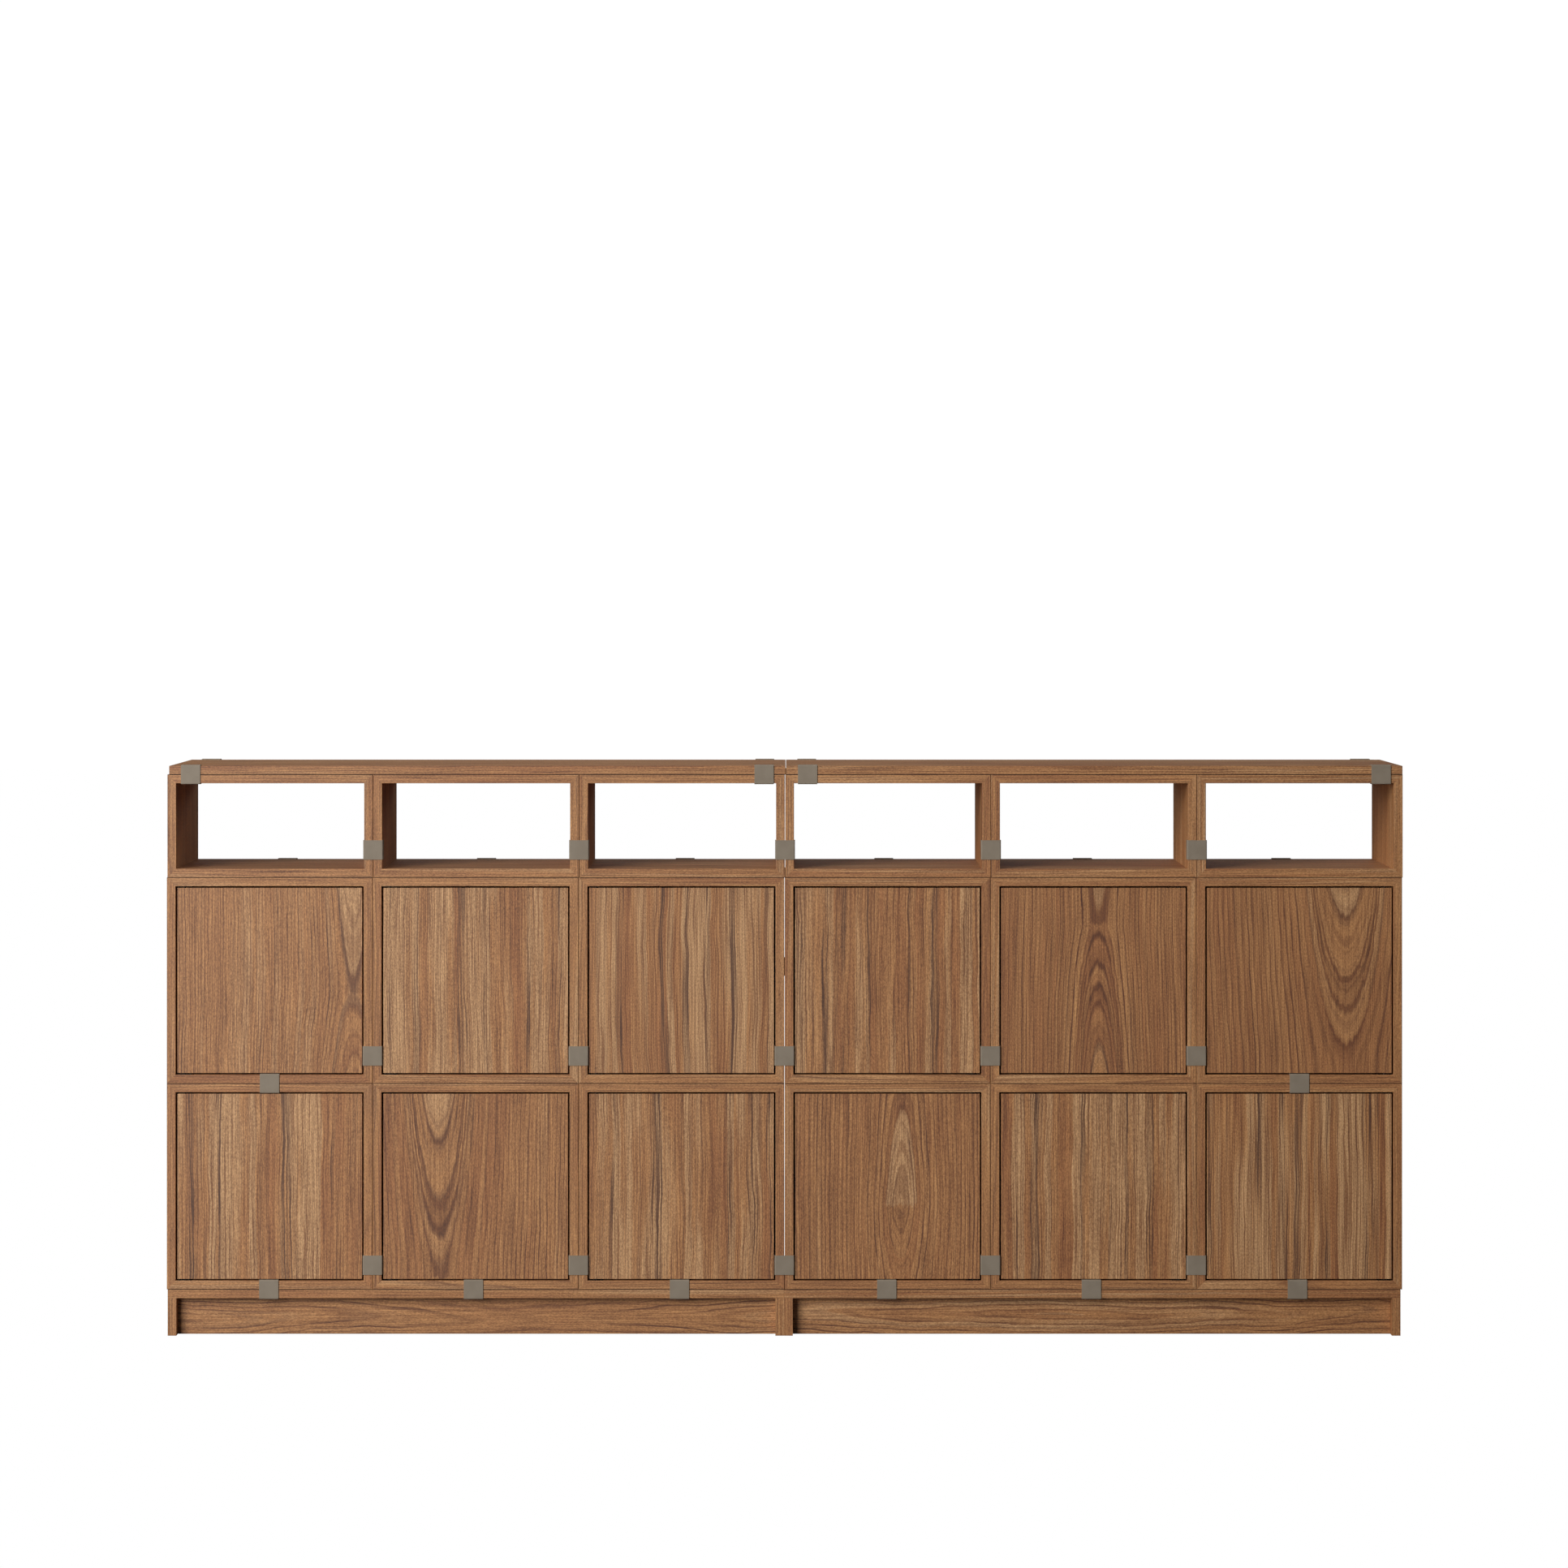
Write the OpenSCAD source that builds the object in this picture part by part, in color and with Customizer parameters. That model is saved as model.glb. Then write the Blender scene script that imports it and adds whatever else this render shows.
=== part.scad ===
// Modular cube storage unit: six columns of stacked veneered modules.
// Two rows of cabinets with inset push-to-open doors stand on two plinths, under one row of
// half-height open modules and two top boards. Sheet-metal clips grip the seams between modules.
// Millimetres. Origin: centre of the footprint, on the floor. +X to the right, +Y to the rear, +Z up.

/* [Modules] */
// Outer width of one module
module_w = 435; // [300:5:600]
// Depth of every module, front edge to rear edge
module_d = 350; // [250:5:450]
// Outer height of a cabinet module
module_h = 436; // [300:2:600]
// Outer height of an open module
open_h = 218; // [150:2:400]
// Thickness of every veneered board
board_t = 18.5; // [15:0.5:24]
// Thickness of a cabinet's back panel
back_t = 6; // [4:0.5:12]
// Air gap between neighbouring columns
column_gap = 1; // [0.5:0.1:3]

/* [Stacking] */
// Sideways set of the plinths as they stand
plinth_shift = -1.4; // [-3:0.1:3]
// Sideways set of both cabinet rows
cabinet_shift = -0.6; // [-3:0.1:3]
// Sideways set of the open row
open_shift = 0.6; // [-3:0.1:3]
// Sideways set of the two top boards
top_shift = 2.3; // [-3:0.1:3]
// Air gap between the two top boards
top_gap = 1; // [0.5:0.1:3]

/* [Plinth] */
// Height of a plinth, floor to the underside of the lower cabinets
plinth_h = 98; // [60:2:150]
// Clearance from the tip of a clip's arm to the recessed kick board
kick_gap = 4; // [2:1:60]

/* [Doors] */
// Thickness of a door
door_t = 18.5; // [16:0.5:24]
// Shadow gap round a door
door_gap = 3.5; // [2.9:0.1:6]
// How far a door's face sits behind the module's front edge
door_inset = 3; // [1:0.5:8]

/* [Clips] */
// Width of a clip, measured along its seam
clip_w = 41; // [30:1:60]
// Sheet thickness of a clip
clip_sheet = 2; // [1.2:0.1:2.4]
// How far a clip's arms reach in from the module's edge
clip_reach = 20; // [12:1:30]
// Clearance from a top clip to the inner face of the nearest side panel
top_clip_margin = 6.5; // [3:0.5:100]
// Height of a front seam clip's centre above the base of an open module or an upper cabinet
seam_clip_z = 58.5; // [50:0.5:90]
// The same height in the lower cabinets
lower_seam_clip_z = 51.4; // [48:0.1:90]

/* [Pivots] */
// Diameter of a pivot pin
pin_d = 5; // [4:0.5:6]
// Radial running clearance between a pin and its bush
pin_play = 0.05; // [0.02:0.01:0.1]
// Wall thickness of a bush
bush_wall = 1.45; // [1:0.05:2]
// Length of a bush, let into the door's edge
bush_len = 12; // [8:1:20]
// Distance from the door's face to the pivot axis
pivot_from_face = 5.5; // [5.5:0.1:7]
// Thickness of a pivot plate
pivot_plate_t = 1.2; // [0.8:0.1:1.6]
// Length of a pivot plate
pivot_plate_l = 30; // [26:1:50]
// Width of a pivot plate
pivot_plate_w = 10; // [9:0.5:11]
// Clearance from a pivot plate's end to the side panel
pivot_plate_margin = 3.125; // [0.5:0.125:6]

/* [Latch] */
// Diameter of a latch's plunger
plunger_d = 7; // [5:0.5:9]
// Travel of a plunger
latch_travel = 12; // [6:1:20]
// Wall of the latch housing round its plunger
housing_wall = 2.9; // [2:0.1:4]
// Length of a latch housing beyond its plunger's travel
housing_guide = 36; // [28:1:50]
// Diameter of a strike disc
strike_d = 13; // [11:0.5:18]
// Thickness of a strike disc
strike_t = 1.2; // [0.8:0.1:2]

/* [Hidden] */
$fn = 48;
glue_line = 0.03;        // half the line between two glued boards
swing_clearance = 0.5;   // from a door's turning corner to a clip's arm
rest_gap = 0.3;          // between a moving piece and the piece it comes to rest on
bore_play = 0.1;         // round a plunger in its housing
collar_play = 0.1;       // between a lower pin's collar and the door
collar_rim = 2;          // how far that collar stands out round its pin
pin_chamfer = 0.8;
strike_margin = 2;       // from a strike disc to the door's free edge
head_t = 3;              // magnet head of a plunger
head_rim = 1;            // how far that head stands out round its rod
rod_spare = 4;           // bore left behind a plunger at rest
flange_t = 2.5;
flange_rim = 10;         // how far a housing's flange stands out above and below it
back_gap = 6;            // from the tips of the rear clips to the back panel
plinth_clip_shift = [-1.5, -4.3, -4.3];   // of a front plinth clip, in each column of a bay

bays = 2;
bay_columns = 3;
columns = bays * bay_columns;
pitch = module_w + column_gap;
bay_l = bay_columns * module_w;

lower_z = plinth_h;
upper_z = lower_z + module_h;
open_z = upper_z + module_h;
top_z = open_z + open_h;

back_inset = clip_reach + back_gap;
kick_inset = clip_reach + kick_gap;

bush_r = pin_d / 2 + pin_play + bush_wall;
// The door's front corner turns on a circle that clears the arms of the seam clips.
swing_room = door_gap - clip_sheet - swing_clearance;
pivot_from_edge = (pow(pivot_from_face, 2) - pow(swing_room, 2)) / (2 * swing_room);

latch_from_wall = door_gap + strike_margin + strike_d / 2;
strike_y = door_inset + door_t;
head_y = strike_y + strike_t + rest_gap;
housing_y = head_y + head_t + rest_gap;
housing_l = latch_travel + housing_guide;
bore_r = plunger_d / 2 + bore_play;
housing_r = bore_r + housing_wall;

walnut = [0.62, 0.44, 0.31];
walnut_door = [0.66, 0.47, 0.33];
clip_grey = [0.53, 0.49, 0.43];
steel = [0.70, 0.70, 0.70];
latch_grey = [0.40, 0.40, 0.41];
plunger_grey = [0.80, 0.80, 0.78];

// Centre of column c, counted from 0 at the left.
function column_x(c) = (c - (columns - 1) / 2) * pitch;
// Doors of the left bay hang on their left edge, doors of the right bay on their right edge.
function hung_left(c) = c < bay_columns;

// Puts children in the frame of a module: x from its centre, y from its front edge, z from its base.
module in_module(c, z, shift) {
    translate([column_x(c) + shift, -module_d / 2, z]) children();
}

// As in_module, for fittings drawn with the pivot on the left; right-hung doors mirror them.
module in_cabinet(c, z) {
    in_module(c, z, cabinet_shift) mirror([hung_left(c) ? 0 : 1, 0, 0]) children();
}

// ---------------------------------------------------------------- modules

// Four boards, mitred at the corners, that make one module's shell.
module shell(w, h) {
    t = board_t;
    g = glue_line;
    level_board = [[g, 0], [w - g, 0], [w - t - g, t], [t + g, t]];
    upright_board = [[0, g], [t, t + g], [t, h - t - g], [0, h - g]];
    translate([-w / 2, module_d, 0]) rotate([90, 0, 0]) linear_extrude(height = module_d) {
        polygon(level_board);
        polygon([for (p = level_board) [p[0], h - p[1]]]);
        polygon(upright_board);
        polygon([for (p = upright_board) [w - p[0], p[1]]]);
    }
}

module open_module(c) {
    color(walnut) in_module(c, open_z, open_shift) shell(module_w, open_h);
}

module cabinet(c, z) {
    inset = board_t + glue_line;
    color(walnut) in_module(c, z, cabinet_shift) {
        shell(module_w, module_h);
        translate([inset - module_w / 2, module_d - back_inset - back_t, inset])
            cube([module_w - 2 * inset, back_t, module_h - 2 * inset]);
    }
}

module top_boards() {
    color(walnut) for (side = [-1, 1])
        translate([top_shift + side * (bay_l + top_gap) / 2 - bay_l / 2, -module_d / 2, top_z])
            cube([bay_l, module_d, board_t]);
}

// A plinth: a top panel on two end panels, with a recessed board at the front and another at the rear.
module plinth(side) {
    t = board_t;
    g = glue_line;
    panel_h = plinth_h - t - g;
    rail_l = bay_l - 2 * (t + g);
    rail_y = [kick_inset, module_d - kick_inset - t];
    color(walnut) translate([plinth_shift + (side - 1) * bay_l / 2, -module_d / 2, 0]) {
        translate([0, 0, plinth_h - t]) cube([bay_l, module_d, t]);
        for (x = [0, bay_l - t]) translate([x, 0, 0]) cube([t, module_d, panel_h]);
        for (y = rail_y) translate([t + g, y, 0]) cube([rail_l, t, panel_h]);
    }
}

// ---------------------------------------------------------------- clips

// A U of sheet metal that grips two boards, stack thick together. Its plate faces -Y at y = 0,
// it is centred on the seam, which runs along X, and its arms reach towards +Y.
module clip(stack) {
    outer = stack + 2 * clip_sheet;
    translate([-clip_w / 2, -clip_sheet, -outer / 2]) difference() {
        cube([clip_w, clip_sheet + clip_reach, outer]);
        translate([-1, clip_sheet, clip_sheet]) cube([clip_w + 2, clip_reach + 1, stack]);
    }
}

// A clip on a level seam; rear = true turns it to the rear edges.
module seam_clip(x, z, rear = false) {
    translate([x, (rear ? 1 : -1) * module_d / 2, z]) rotate([0, 0, rear ? 180 : 0]) clip(2 * board_t);
}

// A clip on the upright seam between columns c and c + 1.
module column_clip(c, z, shift, rear = false) {
    translate([column_x(c) + pitch / 2 + shift, (rear ? 1 : -1) * module_d / 2, z])
        rotate([0, 90, rear ? 180 : 0]) clip(2 * board_t + column_gap);
}

module joining_clips() {
    top_clip_x = bay_l - board_t - clip_w / 2 - top_clip_margin + top_gap / 2;
    inner_clip_x = board_t + clip_w / 2 + top_clip_margin + top_gap / 2;
    color(clip_grey) {
        for (c = [0 : columns - 2]) {
            column_clip(c, lower_z + lower_seam_clip_z, cabinet_shift);
            column_clip(c, upper_z + seam_clip_z, cabinet_shift);
            column_clip(c, upper_z + module_h / 2, cabinet_shift, rear = true);
            column_clip(c, open_z + seam_clip_z, open_shift);
        }
        for (c = [0 : columns - 1]) {
            x = column_x(c) + cabinet_shift;
            seam_clip(x + plinth_clip_shift[c % bay_columns], lower_z);
            seam_clip(x, lower_z, rear = true);
            seam_clip(x, upper_z, rear = true);
            seam_clip(x, open_z, rear = true);
        }
        for (c = [0, columns - 1]) seam_clip(column_x(c) + cabinet_shift, upper_z);
        for (side = [-1, 1], x = [inner_clip_x, top_clip_x], rear = [false, true])
            seam_clip(top_shift + side * x, top_z, rear);
    }
}

// ---------------------------------------------------------------- doors

module at_pivot() {
    translate([board_t + door_gap + pivot_from_edge - module_w / 2, door_inset + pivot_from_face, 0])
        children();
}

// Heights of a door's lower and upper edges in its module.
door_z = [board_t + door_gap, module_h - board_t - door_gap];

module door(c, z) {
    edge = board_t + door_gap;
    color(walnut_door) in_cabinet(c, z) difference() {
        translate([edge - module_w / 2, door_inset, door_z[0]])
            cube([module_w - 2 * edge, door_t, door_z[1] - door_z[0]]);
        at_pivot() {
            translate([0, 0, door_z[0] - 1]) cylinder(r = bush_r, h = bush_len + 1);
            translate([0, 0, door_z[1] - bush_len]) cylinder(r = bush_r, h = bush_len + 1);
        }
    }
}

module bush(z) {
    translate([0, 0, z]) difference() {
        cylinder(r = bush_r, h = bush_len);
        translate([0, 0, -1]) cylinder(r = pin_d / 2 + pin_play, h = bush_len + 2);
    }
}

// Centre line of a latch, drawn for a door hung on its left edge.
module at_latch(y) {
    translate([module_w / 2 - board_t - latch_from_wall, y, module_h / 2]) rotate([-90, 0, 0]) children();
}

module door_fittings(c, z) {
    color(steel) in_cabinet(c, z) {
        at_pivot() {
            bush(door_z[0]);
            bush(door_z[1] - bush_len);
        }
        at_latch(strike_y) cylinder(d = strike_d, h = strike_t);
    }
}

// A plate that is screwed to the module, with its pin. The lower one's collar carries the door.
module pivot(collar) {
    reach = door_gap + bush_len - rest_gap;
    straight = reach - pin_chamfer;
    wall_x = -door_gap - pivot_from_edge;
    translate([wall_x + pivot_plate_margin, -pivot_plate_w / 2, 0])
        cube([pivot_plate_l, pivot_plate_w, pivot_plate_t]);
    cylinder(d = pin_d, h = straight);
    translate([0, 0, straight]) cylinder(d1 = pin_d, d2 = pin_d - 2 * pin_chamfer, h = pin_chamfer);
    if (collar) cylinder(r = pin_d / 2 + collar_rim, h = door_gap - collar_play);
}

module door_pivots() {
    color(steel) for (c = [0 : columns - 1], z = [lower_z, upper_z]) in_cabinet(c, z) at_pivot() {
        translate([0, 0, board_t]) pivot(true);
        translate([0, 0, module_h - board_t]) mirror([0, 0, 1]) pivot(false);
    }
}

// ---------------------------------------------------------------- latches

module latch_housing() {
    reach = latch_from_wall;
    difference() {
        union() {
            at_latch(housing_y) cylinder(r = housing_r, h = housing_l);
            translate([module_w / 2 - board_t - reach, housing_y, module_h / 2 - housing_r])
                cube([reach, housing_l, 2 * housing_r]);
            translate([module_w / 2 - board_t - flange_t, housing_y, module_h / 2 - housing_r - flange_rim])
                cube([flange_t, housing_l, 2 * (housing_r + flange_rim)]);
        }
        at_latch(housing_y - 1) cylinder(r = bore_r, h = housing_l + 1 - housing_wall);
    }
}

module latch_housings() {
    color(latch_grey) for (c = [0 : columns - 1], z = [lower_z, upper_z]) in_cabinet(c, z) latch_housing();
}

// A plunger with its magnet head, held in by the closed door.
module latch_plunger(c, z) {
    rod_end = housing_y + housing_l - housing_wall - rod_spare;
    color(plunger_grey) in_cabinet(c, z) {
        at_latch(head_y) cylinder(d = plunger_d + 2 * head_rim, h = head_t);
        at_latch(head_y) cylinder(d = plunger_d, h = rod_end - head_y);
    }
}

// ---------------------------------------------------------------- nodes

plinth(-1);  // plinth_left
plinth(1);  // plinth_right
top_boards();
joining_clips();
door_pivots();
latch_housings();
for (c = [0 : columns - 1]) {
    n = c + 1;
    open_module(c);
    for (row = [["lower_", lower_z], ["upper_", upper_z]]) {
        name = str(row[0], n);
        z = row[1];
        cabinet(c, z);
        door(c, z);
        door_fittings(c, z);
        latch_plunger(c, z);
    }
}
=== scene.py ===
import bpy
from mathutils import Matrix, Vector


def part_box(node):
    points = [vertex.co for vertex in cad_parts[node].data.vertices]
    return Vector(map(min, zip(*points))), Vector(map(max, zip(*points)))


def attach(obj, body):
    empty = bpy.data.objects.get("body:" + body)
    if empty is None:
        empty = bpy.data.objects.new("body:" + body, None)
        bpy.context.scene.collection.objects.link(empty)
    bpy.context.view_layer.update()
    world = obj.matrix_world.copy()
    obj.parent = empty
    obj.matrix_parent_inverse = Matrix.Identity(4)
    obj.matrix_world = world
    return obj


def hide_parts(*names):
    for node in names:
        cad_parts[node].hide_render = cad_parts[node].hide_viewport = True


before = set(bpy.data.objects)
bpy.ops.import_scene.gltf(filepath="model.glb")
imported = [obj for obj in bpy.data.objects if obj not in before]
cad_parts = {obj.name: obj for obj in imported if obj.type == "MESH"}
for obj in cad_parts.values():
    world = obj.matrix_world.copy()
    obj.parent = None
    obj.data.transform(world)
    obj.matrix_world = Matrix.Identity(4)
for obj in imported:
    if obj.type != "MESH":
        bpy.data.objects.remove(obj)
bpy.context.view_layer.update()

# Looks of the cube storage unit: walnut veneer with a figure of its own on every door, bent sheet clips on
# the seams, pivots and push latches behind the doors, and the studio round it. Metres, in the CAD frame.

import math
import random

import bmesh
import bpy
from mathutils import Vector

MM = 0.001
scene = bpy.context.scene
scene.view_settings.view_transform = "Standard"

COLUMNS = 6
ROWS = ("lower", "upper")

# Radii of the small rounded edges, and the angle from which an edge is sharp.
DOOR_EDGE = 0.4 * MM
BOARD_EDGE = 0.6 * MM
JOINT_EDGE = 0.8 * MM
CLIP_EDGE = 0.25 * MM
FITTING_EDGE = 0.2 * MM
SHARP = math.radians(40)

# ------------------------------------------------------------------------------------------------ nodes


class Graph:
    """Writes a node tree as if it were arithmetic: every call returns the new node's output socket."""

    def __init__(self, tree):
        self.tree = tree

    def feed(self, socket, value):
        if isinstance(value, bpy.types.NodeSocket):
            self.tree.links.new(value, socket)
        elif isinstance(socket, bpy.types.NodeSocketVector):
            socket.default_value = value[:3]
        else:
            socket.default_value = value

    def node(self, kind, inputs=(), output=0, **settings):
        node = self.tree.nodes.new(kind)
        for key, value in settings.items():
            setattr(node, key, value)
        pairs = inputs.items() if isinstance(inputs, dict) else enumerate(inputs)
        for key, value in pairs:
            self.feed(node.inputs[key], value)
        return node.outputs[output]

    def math(self, operation, *values):
        return self.node("ShaderNodeMath", values, operation=operation)

    def add(self, *values):
        total = values[0]
        for value in values[1:]:
            total = self.math("ADD", total, value)
        return total

    def times(self, *values):
        total = values[0]
        for value in values[1:]:
            total = self.math("MULTIPLY", total, value)
        return total

    def minus(self, a, b):
        return self.math("SUBTRACT", a, b)

    def vector(self, operation, *values):
        return self.node("ShaderNodeVectorMath", values, operation=operation)

    def dot(self, a, b):
        return self.node("ShaderNodeVectorMath", (a, b), output="Value", operation="DOT_PRODUCT")

    def split(self, value):
        separate = self.tree.nodes.new("ShaderNodeSeparateXYZ")
        self.feed(separate.inputs[0], value)
        return separate.outputs

    def join(self, x, y, z):
        return self.node("ShaderNodeCombineXYZ", (x, y, z))

    def place_mm(self, origin=(0, 0, 0)):
        """The object's own coordinates, in millimetres from an origin in metres."""
        coordinates = self.node("ShaderNodeTexCoord", output="Object")
        return self.vector("MULTIPLY", self.vector("SUBTRACT", coordinates, tuple(origin)), (1 / MM,) * 3)

    def stretched(self, place, across, along):
        """Noise coordinates whose cells are `across` wide and `along` long, in millimetres."""
        return self.vector("MULTIPLY", place, (1 / across, 1 / across, 1 / along))

    def noise(self, place, detail=2.0, roughness=0.5):
        inputs = {"Vector": place, "Scale": 1.0, "Detail": detail, "Roughness": roughness}
        return self.node("ShaderNodeTexNoise", inputs)

    def swing(self, place, size, detail=2.0):
        """Noise from about -size to +size."""
        return self.times(self.minus(self.noise(place, detail), 0.5), self.times(size, 3.0))

    def band(self, value, low, high, to_low=0.0, to_high=1.0):
        """Smooth step from to_low at low to to_high at high."""
        inputs = (value, low, high, to_low, to_high)
        return self.node("ShaderNodeMapRange", inputs, interpolation_type="SMOOTHSTEP")

    def blend(self, share, a, b):
        mix = self.tree.nodes.new("ShaderNodeMix")
        mix.data_type = "RGBA"
        for index, value in ((0, share), (6, a), (7, b)):
            self.feed(mix.inputs[index], value)
        return mix.outputs[2]

    def darken(self, colour, share, keep):
        """The colour times `keep` where share is 1, and unchanged where it is 0."""
        return self.blend(share, colour, self.vector("MULTIPLY", colour, keep))


def rgb(red, green, blue):
    """An sRGB colour of 0 to 255 a channel, as linear values with alpha."""
    def linear(c):
        c /= 255
        return c / 12.92 if c <= 0.04045 else ((c + 0.055) / 1.055) ** 2.4
    return (linear(red), linear(green), linear(blue), 1.0)


def new_group(name, inputs, outputs):
    tree = bpy.data.node_groups.new(name, "ShaderNodeTree")
    for direction, names in (("INPUT", inputs), ("OUTPUT", outputs)):
        for key in names:
            kind = {"Place": "NodeSocketVector", "Color": "NodeSocketColor"}.get(key, "NodeSocketFloat")
            tree.interface.new_socket(name=key, in_out=direction, socket_type=kind)
    given = tree.nodes.new("NodeGroupInput").outputs
    return Graph(tree), given, tree.nodes.new("NodeGroupOutput").inputs


def use_group(g, tree, values):
    node = g.tree.nodes.new("ShaderNodeGroup")
    node.node_tree = tree
    for key, value in values.items():
        g.feed(node.inputs[key], value)
    return node.outputs


def new_material(name):
    material = bpy.data.materials.new(name)
    material.use_nodes = True
    return material, Graph(material.node_tree), material.node_tree.nodes["Principled BSDF"]


def set_bump(g, shader, height, depth, strength=0.35):
    inputs = {"Strength": strength, "Distance": depth, "Height": height}
    g.feed(shader.inputs["Normal"], g.node("ShaderNodeBump", inputs))


# ------------------------------------------------------------------------------------------------ walnut

TAN = rgb(187, 138, 91)
MID = rgb(173, 117, 67)
RED = rgb(158, 100, 54)
DARK = rgb(110, 70, 40)

# Place is across, through and along the grain, in millimetres from the figure's heart.
# Cut is how far the log's heart lies behind the veneer there. It falls by Rise a millimetre both ways along
# the grain, and by Tilt on the way up. Soft is the length over which that sets in. Wave, Wobble and Ragged
# are how far the grain wanders in long and in short waves, and how unevenly its fibres end.
GRAIN_INPUTS = ("Place", "Seed", "Cut", "Rise", "Tilt", "Soft", "Wave", "Wobble", "Ragged")
# Ring is the rings' mean width. Lines, Fine and Bands are the contrast of the rings' edges, of the thin
# lines between them and of the tone from ring to ring. Streaks and Marks are the darkness of the broad
# streaks and of the arches. Tone is 0 for the reddish ground and 1 for the tan one.
WALNUT_INPUTS = ("Place", "Seed", "Radius", "Along", "Flank", "Ring", "Lines", "Fine", "Bands", "Streaks",
                 "Marks", "Tone")
SEED_STEP = (17.3, 41.9, 73.1)


def seeded_place(g, place, seed):
    return g.vector("ADD", place, g.vector("MULTIPLY", g.join(seed, seed, seed), SEED_STEP))


def grain_group():
    """The log's growth: where a point lies across the grain, and how far from the heart."""
    g, given, out = new_group("grain", GRAIN_INPUTS, ("Across", "Radius", "Along", "Flank"))
    seeded = seeded_place(g, given["Place"], given["Seed"])
    x, y, z = g.split(given["Place"])
    x = g.add(x, g.swing(g.stretched(seeded, 130, 320), given["Wave"]))
    x = g.add(x, g.swing(g.stretched(seeded, 42, 95), given["Wobble"]))
    x = g.add(x, g.swing(g.stretched(seeded, 15, 32), g.times(given["Wobble"], 0.4)))
    z = g.add(z, g.swing(g.stretched(seeded, 5.5, 60), given["Ragged"]))
    fall = g.math("SQRT", g.add(g.times(z, z), g.times(given["Soft"], given["Soft"])))
    depth = g.minus(g.add(given["Cut"], y), g.add(g.times(given["Rise"], fall), g.times(given["Tilt"], z)))
    radius = g.math("SQRT", g.add(g.times(x, x), g.times(depth, depth)))
    g.feed(out["Across"], x)
    g.feed(out["Radius"], radius)
    g.feed(out["Along"], z)
    g.feed(out["Flank"], g.band(g.math("ABSOLUTE", g.math("DIVIDE", x, radius)), 0.18, 0.55))
    return g.tree


def walnut_group():
    g, given, out = new_group("walnut", WALNUT_INPUTS, ("Color", "Roughness", "Height"))
    seed = given["Seed"]
    seeded = seeded_place(g, given["Place"], seed)

    # Growth rings: each has a tone of its own, darkens to its edge or away from it, and varies in width.
    count = g.math("DIVIDE", given["Radius"], given["Ring"])
    count = g.add(count, g.times(g.noise(g.join(g.times(count, 0.27), seed, 0.0), 1.0), 1.4))
    part = g.math("FRACT", count)
    ring = g.add(g.math("FLOOR", count), seed)
    draw = g.node("ShaderNodeTexWhiteNoise", {"W": ring}, noise_dimensions="1D")
    other = g.node("ShaderNodeTexWhiteNoise", {"W": g.add(ring, 0.37)}, noise_dimensions="1D")
    rim = g.band(part, 1.0, 0.92)
    slope = g.times(g.math("POWER", part, 1.8), rim)
    crest = g.times(g.band(part, 0.66, 0.84), rim)
    patchy = g.band(g.noise(g.stretched(seeded, 20, 100)), 0.32, 0.60, 0.55, 1.0)
    edge = g.add(g.times(slope, 0.35), g.times(crest, g.add(0.25, g.times(other, 0.6))))
    edge = g.times(edge, g.add(g.times(draw, 0.5), 0.5), patchy, g.add(g.times(given["Flank"], 0.85), 0.15))

    # Thin lines between the rings, the fibres, and the sheen of cross ripples.
    along = g.times(given["Along"], 0.0022)
    thin = g.noise(g.join(g.times(given["Radius"], 0.19), seed, along), 1.0, 0.7)
    hair = g.noise(g.join(g.times(given["Radius"], 0.52), seed, g.times(along, 2.0)), 0.0)
    lines = g.add(g.times(g.minus(thin, 0.5), 0.3), g.times(g.minus(hair, 0.5), 1.9))
    broad = g.noise(g.join(g.times(given["Radius"], 0.014), seed, g.times(along, 0.5)), 2.0, 0.8)
    fibre = g.noise(g.stretched(seeded, 2.3, 150), 1.0, 0.7)
    fleck = g.noise(g.stretched(seeded, 1.9, 4.5), 1.0, 0.6)
    cloud = g.noise(g.stretched(seeded, 60, 220), 2.0)
    ripple = g.minus(g.noise(g.stretched(seeded, 18, 3.2), 1.0), 0.5)
    ripple = g.times(ripple, g.band(g.noise(g.stretched(seeded, 28, 190)), 0.52, 0.64))

    tone = g.add(given["Tone"], g.times(g.minus(broad, 0.5), given["Bands"], 3.4))
    tone = g.add(tone, g.times(g.minus(draw, 0.5), given["Bands"], 1.0))
    tone = g.add(tone, g.times(lines, given["Fine"], 0.5))
    colour = g.blend(g.band(tone, -0.05, 0.5), RED, MID)
    colour = g.blend(g.band(tone, 0.5, 1.05), colour, TAN)
    streak = g.times(given["Streaks"], g.add(0.9, g.times(lines, 2.0)))
    colour = g.blend(g.band(streak, 0.05, 1.0, 0.0, 0.85), colour, DARK)
    colour = g.darken(colour, g.math("MINIMUM", given["Marks"], 1.0), (0.48, 0.38, 0.32))
    colour = g.darken(colour, g.times(edge, given["Lines"]), (0.24, 0.12, 0.05))
    colour = g.darken(colour, g.times(g.band(lines, -0.02, 0.40), given["Fine"]), (0.52, 0.40, 0.30))
    level = g.add(1.2, g.times(g.minus(fibre, 0.5), -1.6), g.times(g.minus(fleck, 0.5), 1.6))
    level = g.add(level, g.times(g.minus(cloud, 0.5), 0.25), g.times(ripple, 0.5))
    colour = g.vector("MULTIPLY", colour, g.join(level, *(g.math("POWER", level, k) for k in (1.25, 1.5))))

    g.feed(out["Color"], colour)
    g.feed(out["Roughness"], g.add(0.48, g.times(fibre, 0.12), g.times(fleck, 0.10)))
    g.feed(out["Height"], g.minus(fleck, g.add(fibre, g.times(edge, 0.5))))
    return g.tree


GRAIN_TREE = grain_group()
WALNUT_TREE = walnut_group()
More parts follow.
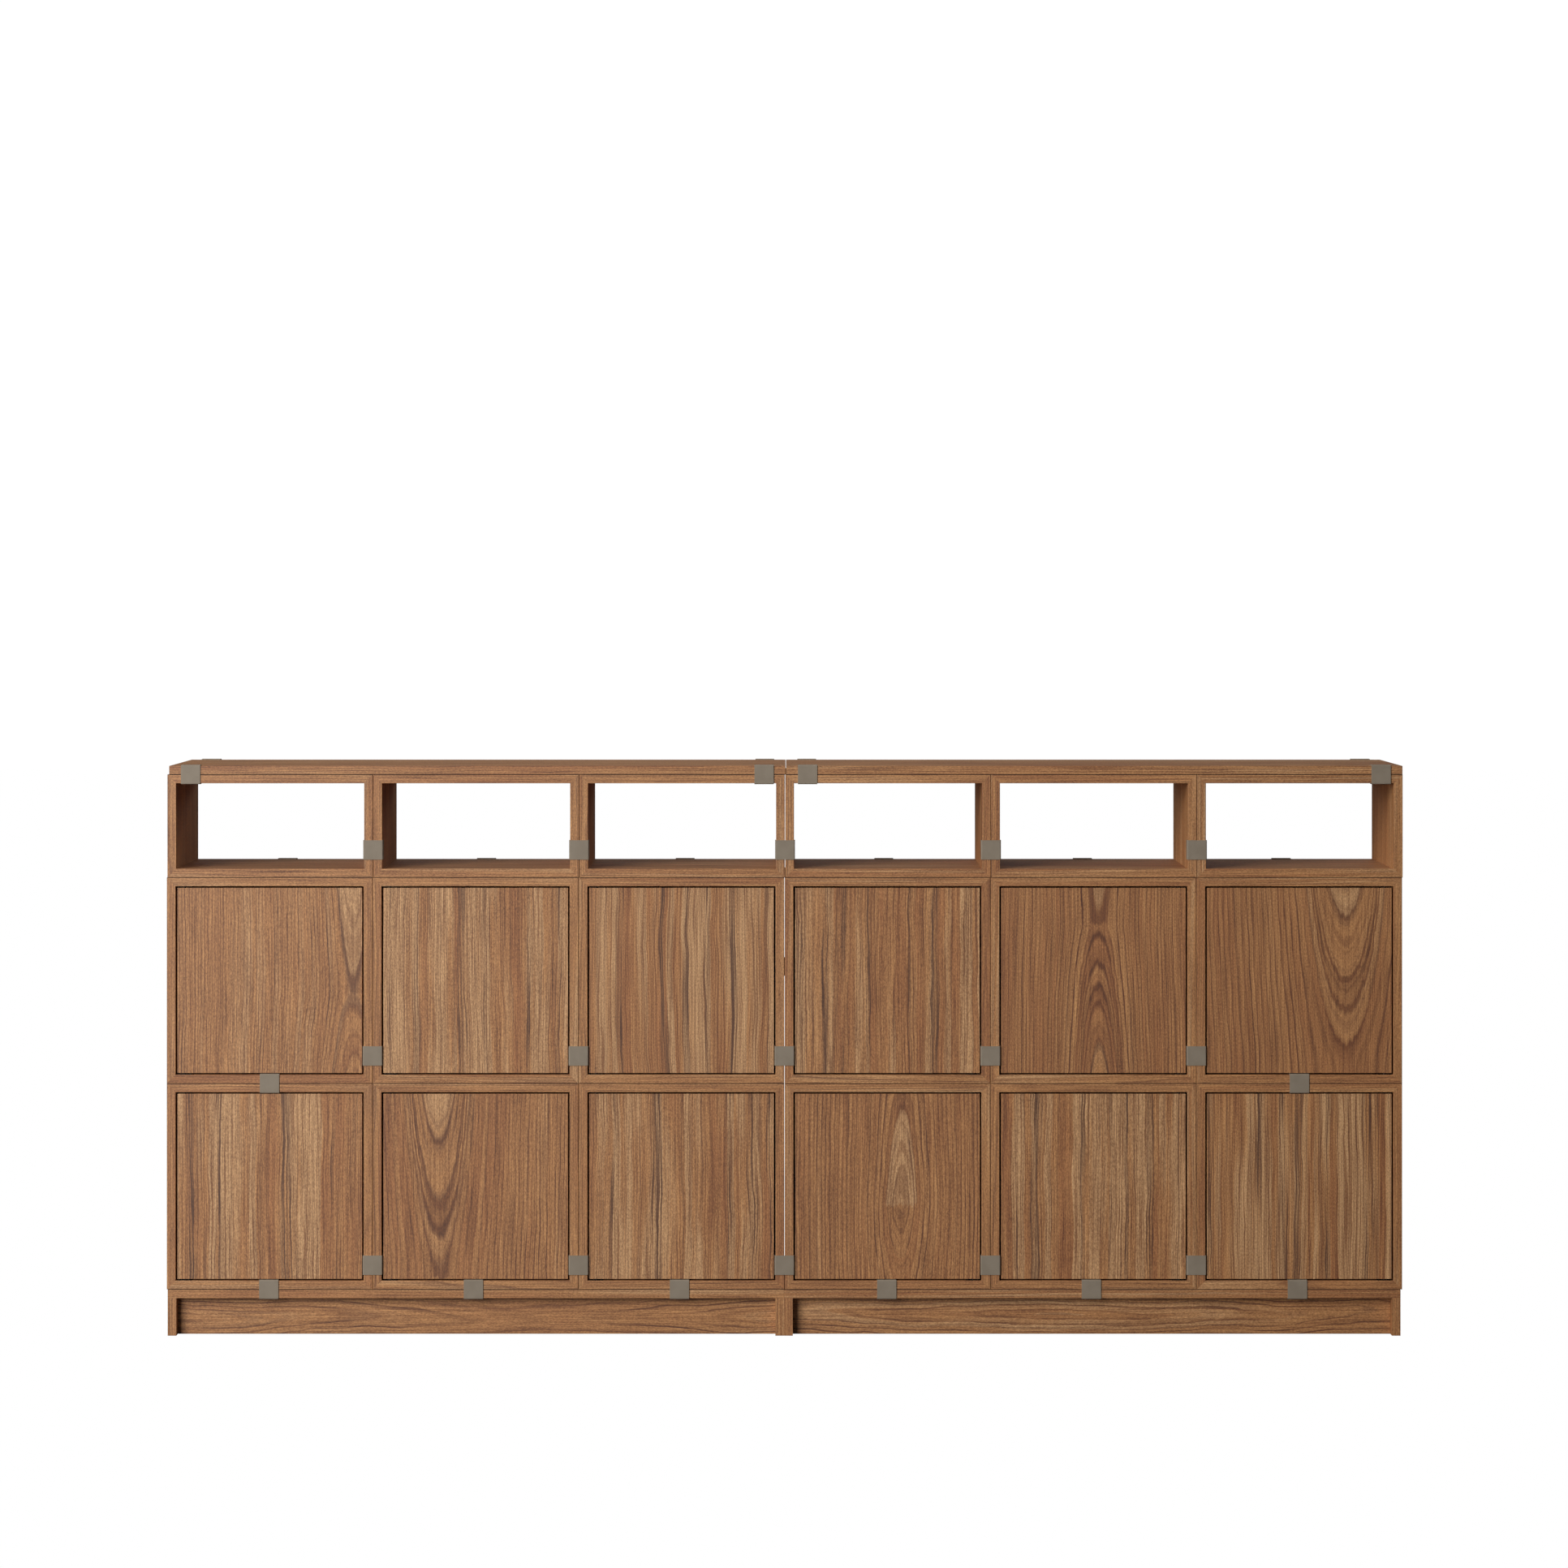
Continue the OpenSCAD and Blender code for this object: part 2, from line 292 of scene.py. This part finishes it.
# How object coordinates turn into across, through and along, for grain along each axis.
DIRECTIONS = {
    "x": ((0, 0.8, 0.6), (0, -0.6, 0.8), (1, 0, 0)),
    "y": ((0.8, 0, 0.6), (-0.6, 0, 0.8), (0, 1, 0)),
    "z": ((0.6, 0.8, 0), (0.8, -0.6, 0), (0, 0, 1)),
    "door": ((1, 0, 0), (0, 1, 0), (0, 0, 1)),
    "kick": ((0, 0, 1), (0, 1, 0), (1, 0, 0)),
}
PLAIN = dict(
    Seed=3.0, Cut=420.0, Rise=0.02, Tilt=0.0, Soft=400.0, Wave=6.0, Wobble=1.0, Ragged=6.0,
    Ring=5.0, Lines=0.7, Fine=0.45, Bands=0.6, Tone=0.45)


def walnut(name, grain, heart=(0, 0, 0), door_width=0, streaks=(), arches=(), **figure):
    """Walnut veneer. heart is the figure's centre in metres, and door_width the door's in millimetres."""
    figure = {**PLAIN, **figure}
    material, g, shader = new_material(name)
    offset = g.node("ShaderNodeAttribute", output="Vector", attribute_name="board_offset")
    place = g.vector("ADD", g.place_mm(heart), offset)
    place = g.join(*(g.dot(place, axis) for axis in DIRECTIONS[grain]))
    values = {key: figure[key] for key in GRAIN_INPUTS if key in figure}
    growth = use_group(g, GRAIN_TREE, {"Place": place, **values})
    marks, tone = arch_marks(g, growth, arches, figure)
    values = {key: figure[key] for key in WALNUT_INPUTS if key in figure}
    values.update({key: growth[key] for key in ("Radius", "Along", "Flank")})
    values.update(Place=place, Tone=tone, Marks=marks)
    values["Streaks"] = streak_mask(g, growth["Across"], place, streaks, door_width, figure["Seed"])
    veneer = use_group(g, WALNUT_TREE, values)
    g.feed(shader.inputs["Base Color"], veneer["Color"])
    g.feed(shader.inputs["Roughness"], veneer["Roughness"])
    set_bump(g, shader, veneer["Height"], 0.06 * MM)
    shader.inputs["Specular IOR Level"].default_value = 0.9
    return material


def painted_joint_shade():
    """Painted shade in the joint between two modules: a near-black, mottled brown on the rounding of the
    seam edges, standing for the shade deep in the joint.
    """
    material, g, shader = new_material("painted_joint_shade")
    place = g.place_mm()
    shade_mottle = g.noise(g.stretched(place, 9, 9), 2.0)
    # Painted shade: two near-black browns, mottled, in place of the shade inside the joint.
    g.feed(shader.inputs["Base Color"], g.blend(g.band(shade_mottle, 0.3, 0.7), rgb(24, 15, 10), rgb(44, 28, 19)))
    g.feed(shader.inputs["Roughness"], g.band(shade_mottle, 0.3, 0.7, 0.75, 0.9))
    set_bump(g, shader, shade_mottle, 0.05 * MM)
    return material


def streak_mask(g, across, place, streaks, width, seed):
    """Darkness of the streaks, each (place across, half width, darkness), in shares of a door's width."""
    if not streaks:
        return 0.0
    seeded = seeded_place(g, place, seed)
    across = g.minus(g.math("DIVIDE", across, width), FAR_HEART)
    across = g.add(across, g.swing(g.stretched(seeded, 5, 60), 0.004))
    total = 0.0
    for centre, half, darkness in streaks:
        side = g.minus(across, centre)
        left = g.band(side, -half, -0.4 * half)
        right = g.band(side, half, 0.1 * half, 0.0, darkness)
        total = g.add(total, g.times(left, right))
    uneven = g.band(g.noise(g.stretched(seeded, 26, 190)), 0.30, 0.62, 0.5, 1.0)
    return g.math("MINIMUM", g.times(total, uneven), 1.0)


def arch_marks(g, growth, arches, figure):
    """The arches of a figure, each (tip, line, shade, tone), with its tip in millimetres above the heart.

    line is the darkness of its edge. shade darkens the wood outside its tip, or inside if it is negative.
    tone is how much lighter the wood inside it is.
    """
    marks, tone = 0.0, figure["Tone"]
    near_tip = g.minus(1.0, growth["Flank"])
    for tip, line, shade, change in arches:
        fall = figure["Rise"] * math.hypot(tip, figure["Soft"]) + figure["Tilt"] * tip
        outside = g.minus(growth["Radius"], figure["Cut"] - fall)
        this_side = g.band(g.times(growth["Along"], math.copysign(1.0, tip)), -4.0, 8.0)
        dark = g.band(g.math("ABSOLUTE", outside), 1.6, 0.2, 0.0, line)
        if shade:
            way = g.times(outside, math.copysign(1.0, shade))
            fade = g.times(g.band(way, -0.4, 0.4), g.band(way, 6.0, 0.5, 0.0, abs(shade)))
            dark = g.add(dark, g.times(fade, near_tip))
        marks = g.add(marks, g.times(dark, this_side))
        if change:
            tone = g.add(tone, g.times(g.band(outside, 0.7, -0.7, 0.0, change), this_side))
    return marks, tone


# Each door's figure. `at` is its heart as shares of the door's width and height, from the lower left. The
# straight ones have their heart a door's width away to the left.
FAR_HEART = 1.0
STRIPED = dict(
    at=(-FAR_HEART, 0), Cut=0.0, Rise=0.0, Soft=1.0, Wave=8.0, Wobble=2.4, Ragged=0.0,
    Ring=15.0, Lines=0.35, Fine=0.95, Bands=1.1, Tone=0.8)
ARCHED = dict(
    Soft=12, Wave=5.0, Wobble=1.6, Ragged=9.0, Ring=8.5, Lines=1.05, Fine=0.6, Bands=0.35, Tone=0.45)
DOORS = {
    "upper_1": dict(
        ARCHED, at=(0.955, 0.426), Seed=1.2, Cut=60, Rise=0.10, Tilt=-0.05, Ring=6.5, Wobble=2.2, Tone=0.6,
        arches=((38, 0.5, 0.7, 0.3), (-26, 0.6, 0.7, -0.3), (-128, 0.35, 0.4, 0.3))),
    "upper_2": dict(STRIPED, Seed=2.1, streaks=(
        (0.05, 0.020, 0.40), (0.19, 0.035, 0.50), (0.43, 0.045, 1.00), (0.555, 0.020, 0.55),
        (0.79, 0.030, 0.50), (0.936, 0.050, 0.60))),
    "upper_3": dict(STRIPED, Seed=3.4, Tone=0.75, streaks=(
        (0.04, 0.020, 0.30), (0.17, 0.030, 0.80), (0.41, 0.035, 0.75), (0.53, 0.025, 0.70),
        (0.64, 0.020, 0.60), (0.78, 0.033, 0.75), (0.98, 0.030, 0.40))),
    "upper_4": dict(STRIPED, Seed=4.7, streaks=(
        (0.02, 0.030, 0.50), (0.16, 0.035, 0.80), (0.24, 0.035, 0.65), (0.39, 0.028, 0.55),
        (0.62, 0.015, 0.55), (0.76, 0.040, 0.95), (0.98, 0.015, 0.30))),
    "upper_5": dict(
        ARCHED, at=(0.53, 0.80), Seed=5.3, Cut=58.6, Rise=0.07, Tilt=-0.04, Ring=7.5, Tone=0.3,
        arches=((19, 0.6, 1.0, 0.7), (-21, 0.8, 0.3, -0.35), (-83, 0.7, 0.5, 0.3), (-127, 0.9, 0.0, -0.25),
                (-166, 0.9, 0.3, 0.15), (-247, 0.6, 0.3, 0.5))),
    "upper_6": dict(
        ARCHED, at=(0.755, 0.0), Seed=6.8, Cut=115, Rise=0.147, Soft=60, Ring=11.0, Tone=0.3,
        arches=((332, 0.6, 0.35, 0.35), (198, 0.9, 0.6, 0.15), (135, 1.0, -0.4, -0.25),
                (61, 0.6, 0.8, 0.35))),
    "lower_1": dict(STRIPED, Seed=7.5, streaks=(
        (0.08, 0.040, 0.70), (0.23, 0.035, 0.55), (0.47, 0.018, 0.50), (0.60, 0.040, 1.00),
        (0.85, 0.030, 0.50), (0.98, 0.020, 0.35))),
    "lower_2": dict(
        ARCHED, at=(0.305, 0.0), Seed=8.1, Cut=97, Rise=0.096, Soft=60, Ring=8.0, Tone=0.42,
        arches=((293, 0.8, 0.4, 0.25), (159, 1.0, 0.6, 0.1), (96, 1.0, -0.4, -0.2), (22, 0.7, 0.8, 0.25))),
    "lower_3": dict(STRIPED, Seed=9.6, streaks=(
        (0.01, 0.020, 0.45), (0.13, 0.028, 0.55), (0.37, 0.045, 0.90), (0.50, 0.015, 0.50),
        (0.75, 0.026, 0.55), (0.88, 0.040, 0.65), (0.975, 0.020, 0.60))),
    "lower_4": dict(
        ARCHED, at=(0.575, 0.395), Seed=10.4, Cut=18, Rise=-0.127, Tilt=0.027, Soft=20, Ring=8.5, Tone=0.4,
        arches=((207, 0.6, 0.7, 0.7),)),
    "lower_5": dict(STRIPED, Seed=11.9, Tone=0.75, streaks=(
        (0.08, 0.016, 0.40), (0.19, 0.040, 0.90), (0.44, 0.026, 0.65), (0.60, 0.018, 0.45),
        (0.69, 0.024, 0.65), (0.81, 0.030, 0.75), (0.97, 0.020, 0.35))),
    "lower_6": dict(STRIPED, Seed=12.7, Tone=0.75, streaks=(
        (0.02, 0.028, 0.55), (0.28, 0.026, 0.65), (0.42, 0.035, 0.70), (0.50, 0.035, 0.85),
        (0.65, 0.026, 0.70), (0.87, 0.040, 0.80))),
}


def dress_doors():
    for place, figure in DOORS.items():
        node = f"door_{place}"
        figure = dict(figure)
        low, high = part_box(node)
        across, up = figure.pop("at")
        heart = Vector((low.x + across * (high.x - low.x), low.y, low.z + up * (high.z - low.z)))
        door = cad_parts[node]
        door.data.materials.clear()
        door.data.materials.append(walnut(f"walnut_{node}", "door", heart, (high.x - low.x) / MM, **figure))
        soften(door, DOOR_EDGE)


# ------------------------------------------------------------------------------------------------ boards

KICK_BOARD = dict(Cut=52, Rise=0.045, Soft=60, Ring=9.0, Lines=1.2, Wave=14.0, Wobble=3.0, Ragged=12.0)
BOARD_WALNUT = {
    "x": walnut("walnut_level", "x"),
    "y": walnut("walnut_cross", "y"),
    "z": walnut("walnut_upright", "z"),
    "kick": walnut("walnut_kick", "kick", (-0.55, -0.15, 0.05), **KICK_BOARD),
    "joint": painted_joint_shade(),
}
VENEER = 900                 # a board's stretch of veneer starts up to this far off, in millimetres
KICK_SLIP = 25               # and a kick board's figure this far along its board
SAME_PLACE = 0.005 * MM      # corners this close are one corner
ON_SEAM = 0.3 * MM           # an edge this close to a seam's height lies on it
BEVEL_SEGMENTS = 2
FREE_EDGES = "bevel_weight_edge"
SEAM_EDGES = "seam_weight"


def place_key(point):
    return tuple(round(c / SAME_PLACE) for c in point)


def islands(mesh):
    """Faces of a mesh by separate solid, matched through corners at the same place."""
    owner = {}

    def find(key):
        while owner[key] != key:
            owner[key] = owner[owner[key]]
            key = owner[key]
        return key

    keys = [place_key(vertex.co) for vertex in mesh.vertices]
    for key in keys:
        owner.setdefault(key, key)
    for face in mesh.polygons:
        first = find(keys[face.vertices[0]])
        for index in face.vertices[1:]:
            owner[find(keys[index])] = first
    groups = {}
    for face in mesh.polygons:
        groups.setdefault(find(keys[face.vertices[0]]), []).append(face)
    return [groups[key] for key in sorted(groups)]


def island_box(mesh, faces):
    corners = [mesh.vertices[i].co for face in faces for i in face.vertices]
    low = Vector([min(c[k] for c in corners) for k in range(3)])
    high = Vector([max(c[k] for c in corners) for k in range(3)])
    return low, high


def weigh_edges(mesh, seams):
    """Bevel weights of the sharp edges: one set for the seams between modules, and one for the rest.

    Mitres have none, because two boards meet flush there.
    """
    touching = {}
    for face in mesh.polygons:
        for pair in face.edge_keys:
            key = frozenset(place_key(mesh.vertices[i].co) for i in pair)
            touching.setdefault(key, []).append(face.normal.copy())
    weights = {name: [0.0] * len(mesh.edges) for name in (FREE_EDGES, SEAM_EDGES)}
    for edge in mesh.edges:
        normals = touching.get(frozenset(place_key(mesh.vertices[i].co) for i in edge.vertices), [])
        mitred = any(abs(n.x) > 0.5 and abs(n.z) > 0.5 for n in normals)
        sharp = any(a.angle(b) > SHARP for a in normals for b in normals)
        if sharp and not mitred:
            heights = [mesh.vertices[i].co.z for i in edge.vertices]
            on_seam = any(all(abs(height - z) < ON_SEAM for height in heights) for z in seams)
            weights[SEAM_EDGES if on_seam else FREE_EDGES][edge.index] = 1.0
    for name, values in weights.items():
        mesh.attributes.new(name, "FLOAT", "EDGE").data.foreach_set("value", values)


def soften(thing, width, weights=None):
    """Small rounded edges, on the edges that `weights` names or on all sharp ones.

    The mesh's doubled corners are joined first, and the last rounding of a thing evens out its shading.
    """
    if not thing.modifiers:
        thing.modifiers.new("weld", "WELD").merge_threshold = 0.002 * MM
    bevel = thing.modifiers.new("rounded_edges", "BEVEL")
    bevel.width = width
    bevel.segments = BEVEL_SEGMENTS
    bevel.angle_limit = SHARP
    if weights:
        bevel.limit_method = "WEIGHT"
        bevel.edge_weight = weights
    if weights != SEAM_EDGES:
        thing.modifiers.new("normals", "WEIGHTED_NORMAL").keep_sharp = bool(weights)
    return bevel


def dress_boards(node, seed, seams):
    """Grain along each board, and a stretch of veneer of its own for each."""
    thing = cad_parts[node]
    mesh = thing.data
    draw = random.Random(seed)
    mesh.materials.clear()
    order = list(BOARD_WALNUT)
    for look in order:
        mesh.materials.append(BOARD_WALNUT[look])
    looks = [0] * len(mesh.polygons)
    offsets = [0.0] * (3 * len(mesh.polygons))
    for faces in islands(mesh):
        low, high = island_box(mesh, faces)
        size = high - low
        thin = min(range(3), key=lambda k: size[k])
        along = "z" if thin == 0 or (thin == 1 and size.x < 1.2 * size.z) else "x"
        kick = node.startswith("plinth") and thin == 1
        shift = [draw.uniform(-VENEER, VENEER) for _ in range(3)]
        if kick:
            shift = [0, 0, draw.uniform(-KICK_SLIP, KICK_SLIP)]
        for face in faces:
            ends = thin == 2 and abs(face.normal.x) > 0.9
            looks[face.index] = order.index("kick" if kick else "y" if ends else along)
            offsets[3 * face.index:3 * face.index + 3] = shift
    mesh.polygons.foreach_set("material_index", looks)
    mesh.attributes.new("board_offset", "FLOAT_VECTOR", "FACE").data.foreach_set("vector", offsets)
    weigh_edges(mesh, seams)
    # The rounding on the seams between modules takes the painted joint shade: a near-black brown standing
    # for the shade deep in the joint.
    soften(thing, JOINT_EDGE, SEAM_EDGES).material = order.index("joint")
    soften(thing, BOARD_EDGE, FREE_EDGES)


# ------------------------------------------------------------------------------------------------ metal

BEND = 2.4 * MM      # outer radius of a clip's bends
SHEET = 2.0 * MM


def painted_sheet():
    """Satin paint on bent sheet: a faint orange peel, a little soiling and duller patches."""
    material, g, shader = new_material("clip_paint")
    place = g.place_mm()
    peel = g.noise(g.stretched(place, 1.1, 1.1), 2.0)
    haze = g.noise(g.stretched(place, 26, 26), 2.0)
    colour = g.blend(g.band(haze, 0.3, 0.7), rgb(147, 134, 117), rgb(153, 140, 123))
    colour = g.darken(colour, g.band(peel, 0.62, 0.75), (0.94, 0.94, 0.94))
    g.feed(shader.inputs["Base Color"], colour)
    g.feed(shader.inputs["Roughness"], g.band(haze, 0.3, 0.7, 0.50, 0.58))
    set_bump(g, shader, peel, 0.02 * MM, 0.25)
    shader.inputs["Specular IOR Level"].default_value = 0.35
    return material


def blackened_steel(name, colour, roughness):
    """Blackened steel with drawn lines and rubbed patches."""
    material, g, shader = new_material(name)
    place = g.place_mm()
    drawn = g.noise(g.vector("MULTIPLY", place, (0.08, 3.0, 3.0)), 3.0)
    rubbed = g.noise(g.stretched(place, 5, 5), 3.0)
    tint = g.blend(g.band(rubbed, 0.55, 0.75, 0.0, 0.5), colour, rgb(96, 92, 88))
    g.feed(shader.inputs["Base Color"], g.darken(tint, drawn, (0.7, 0.7, 0.7)))
    g.feed(shader.inputs["Roughness"], g.band(drawn, 0.3, 0.7, roughness - 0.07, roughness + 0.07))
    set_bump(g, shader, drawn, 0.02 * MM, 0.3)
    shader.inputs["Metallic"].default_value = 1.0
    return material


def moulded_plastic(name, colour):
    """Matte moulded plastic with a fine spark-eroded grain."""
    material, g, shader = new_material(name)
    place = g.place_mm()
    grain = g.noise(g.stretched(place, 0.5, 0.5), 2.0)
    flow = g.noise(g.stretched(place, 14, 14), 2.0)
    g.feed(shader.inputs["Base Color"], g.darken(colour, g.band(flow, 0.35, 0.65), (0.88, 0.88, 0.88)))
    g.feed(shader.inputs["Roughness"], g.band(flow, 0.3, 0.7, 0.50, 0.62))
    set_bump(g, shader, grain, 0.03 * MM, 0.3)
    return material


def u_profile(depth, height):
    """Outline of a bent U in (depth, height), closed side at depth 0, with rounded bends."""
    def arc(height_sign, radius, start, stop, steps=5):
        turns = [start + (stop - start) * k / steps for k in range(steps + 1)]
        middle = height_sign * (half - BEND)
        return [(BEND + radius * math.cos(t), middle + radius * math.sin(t)) for t in turns]

    half = height / 2
    quarter = math.pi / 2
    inner = BEND - SHEET
    outline = [(depth, -half)]
    outline += arc(-1, BEND, -quarter, -2 * quarter)
    outline += arc(1, BEND, 2 * quarter, quarter)
    outline += [(depth, half), (depth, half - SHEET)]
    outline += arc(1, inner, quarter, 2 * quarter)
    outline += arc(-1, inner, -2 * quarter, -quarter)
    outline += [(depth, SHEET - half)]
    return outline


def build_clips():
    """Every clip as a bent strip, in its CAD solid's box."""
    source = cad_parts["joining_clips"].data
    work = bmesh.new()
    for faces in islands(source):
        low, high = island_box(source, faces)
        area = [sum(face.area for face in faces if abs(face.normal[k]) > 0.9) for k in range(3)]
        across, along = (0, 2) if area[0] > area[2] else (2, 0)
        front = low.y + high.y < 0
        middle = (low[across] + high[across]) / 2
        rings = []
        for end in (low[along], high[along]):
            ring = []
            for d, h in u_profile(high.y - low.y, high[across] - low[across]):
                point = Vector((0, low.y + d if front else high.y - d, 0))
                point[across] = middle + h
                point[along] = end
                ring.append(work.verts.new(point))
            rings.append(ring)
        count = len(rings[0])
        for k in range(count):
            after = (k + 1) % count
            work.faces.new((rings[0][k], rings[0][after], rings[1][after], rings[1][k]))
        for ring in rings:
            work.faces.new(ring)
    bmesh.ops.recalc_face_normals(work, faces=work.faces)
    mesh = bpy.data.meshes.new("clip_sheets")
    work.to_mesh(mesh)
    work.free()
    mesh.materials.append(painted_sheet())
    clips = bpy.data.objects.new("clip_sheets", mesh)
    scene.collection.objects.link(clips)
    bevel = clips.modifiers.new("rounded_edges", "BEVEL")
    bevel.width = CLIP_EDGE
    bevel.segments = BEVEL_SEGMENTS
    bevel.angle_limit = SHARP
    clips.modifiers.new("normals", "WEIGHTED_NORMAL")
    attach(clips, "carcass")
    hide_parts("joining_clips")


def dress_fittings():
    looks = {"door_pivots": blackened_steel("pivot_finish", rgb(52, 49, 46), 0.42),
             "latch_housings": moulded_plastic("housing_plastic", rgb(70, 68, 66))}
    fitting = blackened_steel("fitting_finish", rgb(60, 57, 54), 0.38)
    plunger = moulded_plastic("plunger_plastic", rgb(118, 116, 112))
    for row in ROWS:
        for column in range(1, COLUMNS + 1):
            looks[f"door_fittings_{row}_{column}"] = fitting
            looks[f"latch_plunger_{row}_{column}"] = plunger
    for node, material in looks.items():
        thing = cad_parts[node]
        thing.data.materials.clear()
        thing.data.materials.append(material)
        soften(thing, FITTING_EDGE)


# ------------------------------------------------------------------------------------------------ studio

def aim(thing, place, target):
    thing.location = place
    thing.rotation_euler = (Vector(target) - Vector(place)).to_track_quat("-Z", "Y").to_euler()


def area_light(name, place, target, size, power, mirrored):
    data = bpy.data.lights.new(name, "AREA")
    data.shape = "RECTANGLE"
    data.size, data.size_y = size
    data.energy = power
    light = bpy.data.objects.new(name, data)
    light.visible_glossy = mirrored
    scene.collection.objects.link(light)
    aim(light, place, target)


AMBIENT = 0.03       # of the world, on diffuse surfaces
MIRRORED = 0.03      # and what glossy rays see of it besides
FLOOR_REACH = 30
# Each light's place, what it points at, its size in metres, its power in watts, and if it shows in gloss.
LIGHTS = {
    "key": ((-5.3, -7.0, 3.5), (-0.2, 0, 0.7), (5.4, 5.4), 690, True),
    "overhead": ((-0.4, -0.6, 4.6), (0, 0.1, 0.8), (3.6, 1.8), 34, True),
    "rim": ((0.3, 4.2, 2.4), (0, 0, 0.9), (5.0, 1.6), 48, False),
    "sheen": ((0.3, 4.2, 2.6), (0, 0, 0.9), (5.0, 1.6), 6, True),
}


def studio():
    world = bpy.data.worlds.new("studio")
    scene.world = world
    world.use_nodes = True
    g = Graph(world.node_tree)
    background = world.node_tree.nodes["Background"]
    background.inputs["Color"].default_value = (1, 1, 1, 1)
    rays = world.node_tree.nodes.new("ShaderNodeLightPath").outputs
    strength = g.add(AMBIENT, g.times(rays["Is Camera Ray"], 1.0), g.times(rays["Is Glossy Ray"], MIRRORED))
    g.feed(background.inputs["Strength"], strength)
    for name, settings in LIGHTS.items():
        area_light(name, *settings)


def pale_floor():
    """A plain floor, which the camera sees burnt out to white, as on a lit sweep."""
    floor = bpy.data.meshes.new("floor")
    corners = [(x * FLOOR_REACH, y * FLOOR_REACH, 0) for x, y in ((-1, -1), (1, -1), (1, 1), (-1, 1))]
    floor.from_pydata(corners, [], [(0, 1, 2, 3)])
    material, g, shader = new_material("pale_floor")
    shader.inputs["Base Color"].default_value = (0.08, 0.08, 0.08, 1)
    shader.inputs["Roughness"].default_value = 0.9
    glow = g.node("ShaderNodeEmission", {"Color": (1, 1, 1, 1), "Strength": 1.0})
    seen = g.node("ShaderNodeLightPath", output="Is Camera Ray")
    mixed = g.node("ShaderNodeMixShader", (seen, shader.outputs[0], glow))
    g.feed(material.node_tree.nodes["Material Output"].inputs["Surface"], mixed)
    floor.materials.append(material)
    ground = bpy.data.objects.new("floor", floor)
    scene.collection.objects.link(ground)


CAMERA_DISTANCE = 9.257      # from the front edges of the boards
CAMERA_HEIGHT = 1.570
CAMERA_ASIDE = -1.6 * MM
DOOR_INSET = 3 * MM


def camera():
    data = bpy.data.cameras.new("camera")
    data.sensor_width = 36
    data.lens = 100.4
    data.shift_y = -0.1211
    thing = bpy.data.objects.new("camera", data)
    scene.collection.objects.link(thing)
    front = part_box("door_upper_1")[0].y - DOOR_INSET
    thing.location = (CAMERA_ASIDE, front - CAMERA_DISTANCE, CAMERA_HEIGHT)
    thing.rotation_euler = (math.radians(90), 0, 0)
    scene.camera = thing


# ------------------------------------------------------------------------------------------------ making

camera()
studio()
pale_floor()
dress_doors()
BOARD_NODES = (
    ["plinth_left", "plinth_right", "top_boards"]
    + [f"cabinet_{row}_{column}" for row in ROWS for column in range(1, COLUMNS + 1)]
    + [f"open_module_{column}" for column in range(1, COLUMNS + 1)]
)
# All but the plinths stand on something, and there is a seam under each.
SEAMS = sorted({round(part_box(node)[0].z, 4) for node in BOARD_NODES[2:]})
for number, node in enumerate(BOARD_NODES):
    dress_boards(node, number, SEAMS)
build_clips()
dress_fittings()
